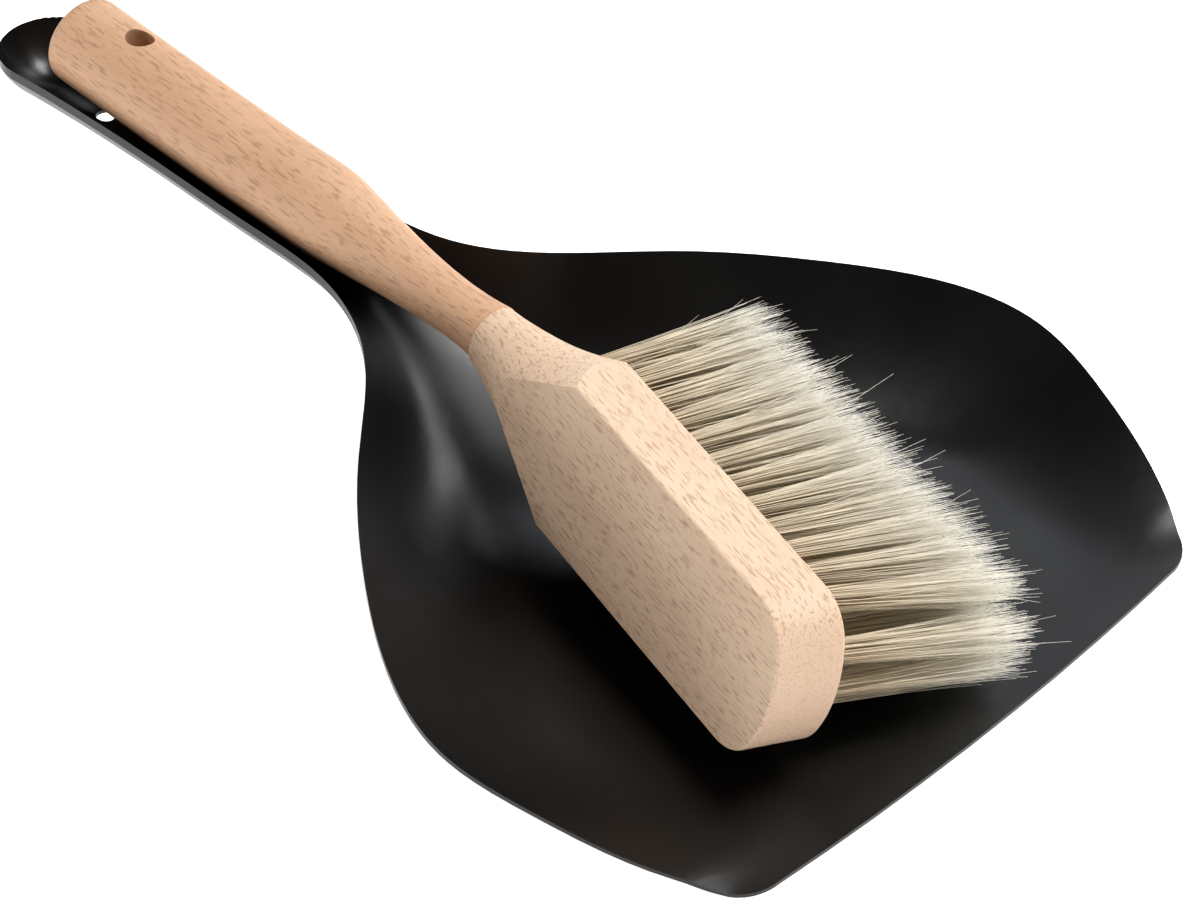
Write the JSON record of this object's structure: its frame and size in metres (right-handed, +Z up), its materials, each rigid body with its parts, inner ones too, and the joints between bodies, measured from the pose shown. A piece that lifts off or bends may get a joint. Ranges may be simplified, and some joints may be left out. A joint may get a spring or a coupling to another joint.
{
  "type": "dust pan and hand brush set",
  "caption": "Pressed steel dust pan with a trough handle, and a wooden hand brush with tufted bristles lying in it, both with a hanging hole.",
  "frame": {"origin": "middle of the footprint of the whole set, on the surface that the pan stands on", "axes": "+Z up; +Y from the mouth of the pan towards the tip of its handle, along its line of symmetry; +X to the right seen from the mouth's outside with +Y pointing away"},
  "size_m": [0.2152, 0.3294, 0.0631],
  "materials": {
    "pan_coating": "semi-gloss black coating",
    "grip_wood": "fine sanded pale wood, taken to be beech from its flecks",
    "block_wood": "fine sanded pale wood, taken to be beech from its flecks",
    "dowel_wood": "plain wood, hidden and inferred",
    "bristle": "pale bristle of unknown fibre, tan at the root and cream at the tip",
    "anchor_wire": "flattened wire"
  },
  "bodies": {
    "pan": {"dust_pan": "pan_coating"},
    "brush": {"block": "block_wood", "handle": "grip_wood", "neck_dowel": "dowel_wood", "tuft_anchors": "anchor_wire", "tuft_a01": "bristle", "tuft_a02": "bristle", "tuft_a03": "bristle", "tuft_a04": "bristle", "tuft_a05": "bristle", "tuft_a06": "bristle", "tuft_a07": "bristle", "tuft_a08": "bristle", "tuft_a09": "bristle", "tuft_a10": "bristle", "tuft_a11": "bristle", "tuft_a12": "bristle", "tuft_b01": "bristle", "tuft_b02": "bristle", "tuft_b03": "bristle", "tuft_b04": "bristle", "tuft_b05": "bristle", "tuft_b06": "bristle", "tuft_b07": "bristle", "tuft_b08": "bristle", "tuft_b09": "bristle", "tuft_b10": "bristle", "tuft_b11": "bristle", "tuft_b12": "bristle", "tuft_b13": "bristle", "tuft_c01": "bristle", "tuft_c02": "bristle", "tuft_c03": "bristle", "tuft_c04": "bristle", "tuft_c05": "bristle", "tuft_c06": "bristle", "tuft_c07": "bristle", "tuft_c08": "bristle", "tuft_c09": "bristle", "tuft_c10": "bristle", "tuft_c11": "bristle", "tuft_c12": "bristle", "tuft_c13": "bristle", "tuft_d01": "bristle", "tuft_d02": "bristle", "tuft_d03": "bristle", "tuft_d04": "bristle", "tuft_d05": "bristle", "tuft_d06": "bristle", "tuft_d07": "bristle", "tuft_d08": "bristle", "tuft_d09": "bristle", "tuft_d10": "bristle", "tuft_d11": "bristle", "tuft_d12": "bristle"}
  },
  "joints": [
    {"name": "brush_lift", "type": "slide", "parent": "pan", "child": "brush", "axis": [0, 0, 1], "range_m": [0, 0.2]}
  ]
}
